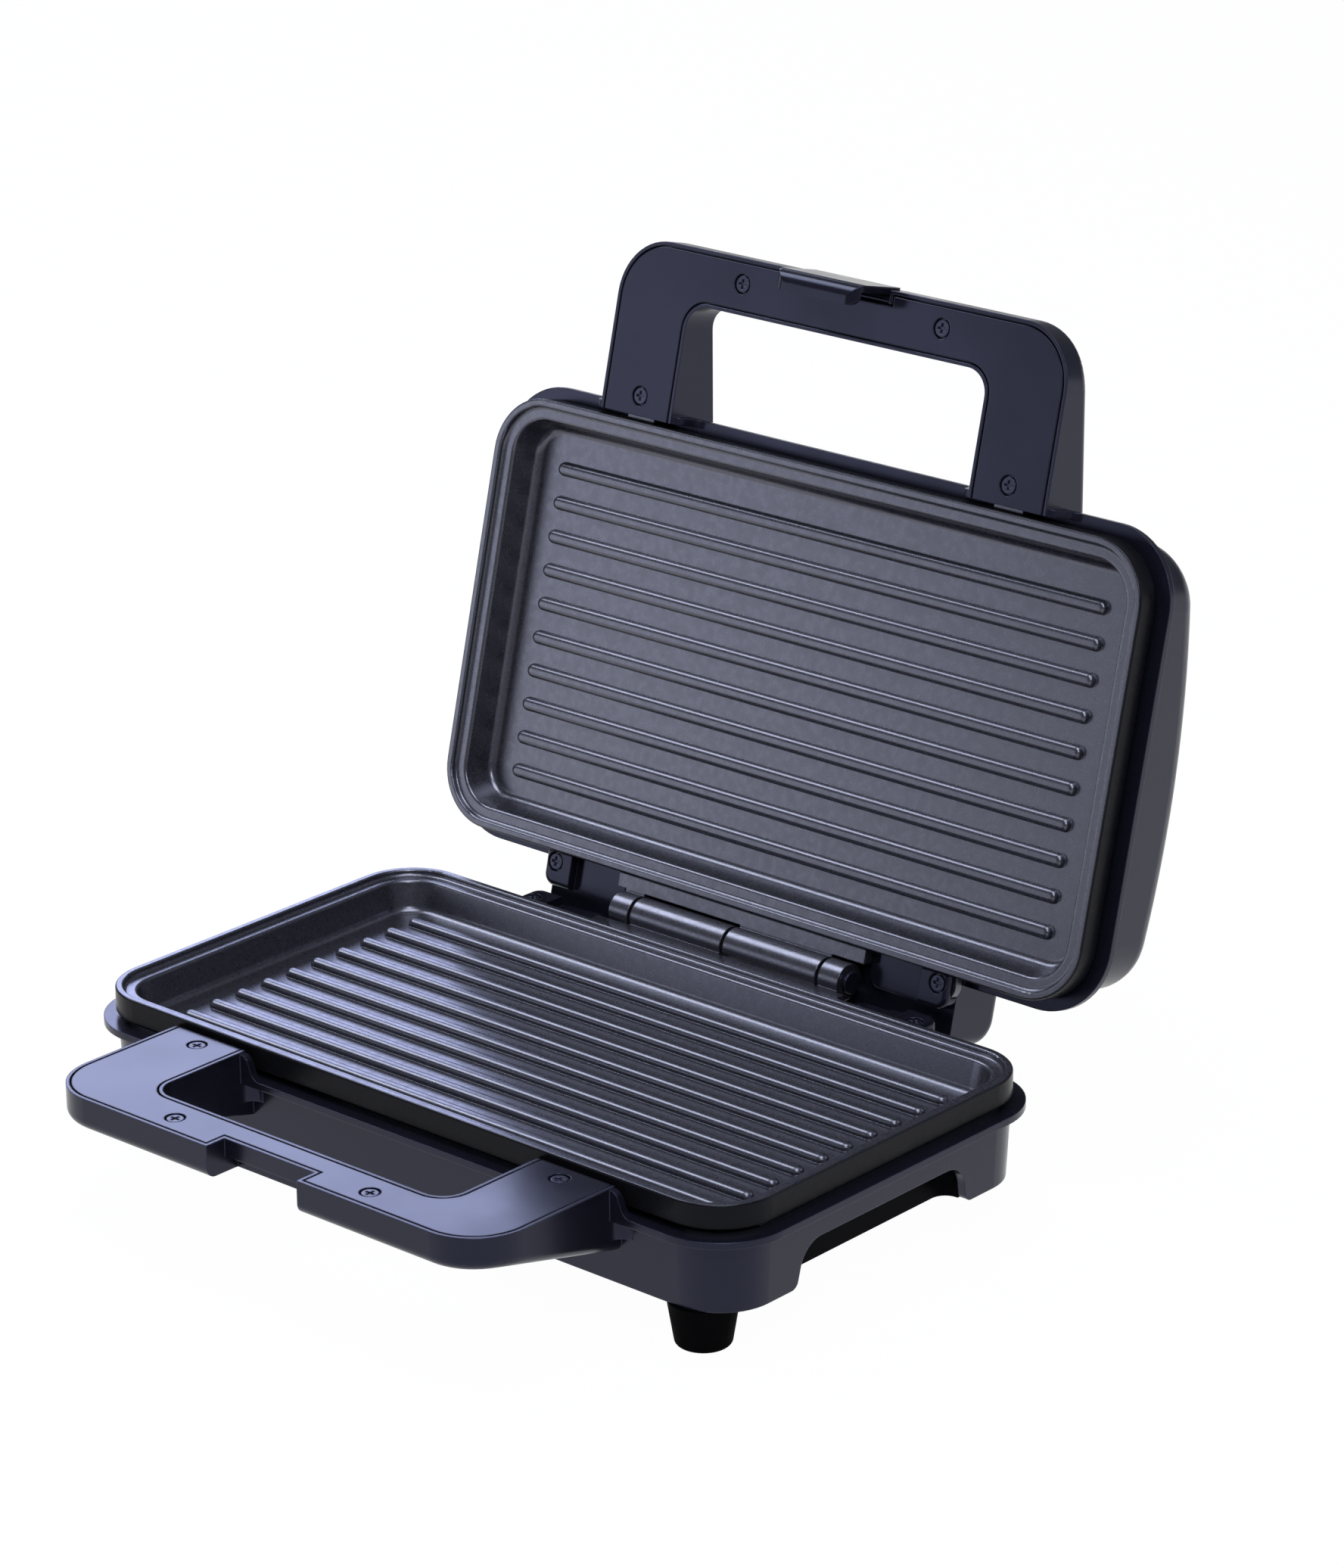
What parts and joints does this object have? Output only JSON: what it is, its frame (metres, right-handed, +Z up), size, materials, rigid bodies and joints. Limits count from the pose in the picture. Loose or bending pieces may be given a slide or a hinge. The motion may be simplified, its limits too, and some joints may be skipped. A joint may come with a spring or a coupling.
{
  "type": "panini press",
  "caption": "Contact grill with ribbed plates in two hinged black casings, loop handles and a swinging latch, stored with its lid open.",
  "frame": {"origin": "centre of the open press's box, on the plane its feet stand on", "axes": "+X to the right seen from the handle, +Y from the handle to the hinge, +Z up"},
  "size_m": [0.242, 0.2497, 0.2304],
  "materials": {
    "casing_plastic": "satin black moulded plastic",
    "cover_plastic": "smooth black moulded plastic",
    "base_plastic": "matt black moulded plastic",
    "nonstick_plate": "cast plate with a speckled dark non-stick coating",
    "black_screw": "blackened steel screws and hinge pin",
    "bright_steel": "drawn steel",
    "element_sheath": "heat-dulled steel sheath",
    "reflector_sheet": "bright rolled sheet",
    "ceramic": "pale unglazed ceramic",
    "rubber": "matt black rubber",
    "lens": "clear red plastic",
    "lamp": "small glass lamps"
  },
  "bodies": {
    "base": {"base_cover": "base_plastic", "base_cover_screws": "black_screw", "cord_gland": "rubber", "front_feet": "rubber", "hinge_pin": "black_screw", "hinge_pin_clip": "black_screw", "lower_casing": "casing_plastic", "lower_grill_plate": "nonstick_plate", "lower_handle_cover": "cover_plastic", "lower_handle_screws": "black_screw", "lower_heating_element": "element_sheath", "lower_hinge_caps": "cover_plastic", "lower_hinge_screws": "black_screw", "lower_reflector": "reflector_sheet", "lower_reflector_screws": "black_screw", "lower_thermostat": "ceramic", "rear_feet": "rubber", "terminal_block": "ceramic", "thermal_fuse": "ceramic"},
    "lid": {"upper_casing": "casing_plastic", "upper_grill_plate": "nonstick_plate", "upper_handle_cover": "cover_plastic", "upper_handle_screws": "black_screw", "upper_heating_element": "element_sheath", "upper_hinge_caps": "cover_plastic", "upper_hinge_screws": "black_screw", "upper_reflector": "reflector_sheet", "upper_reflector_screws": "black_screw", "upper_thermostat": "ceramic", "indicator_lenses": "lens", "indicator_lamps": "lamp", "latch_pin": "bright_steel"},
    "latch": {"latch": "cover_plastic"}
  },
  "joints": [
    {"name": "lid_hinge", "type": "hinge", "parent": "base", "child": "lid", "pos_m": [0, 0.06475, 0.0442], "axis": [1, 0, 0], "range_deg": [0, 104.19]},
    {"name": "latch_pivot", "type": "hinge", "parent": "lid", "child": "latch", "pos_m": [0, 0.11711, 0.22312], "axis": [1, 0, 0], "range_deg": [-20, 10]}
  ]
}
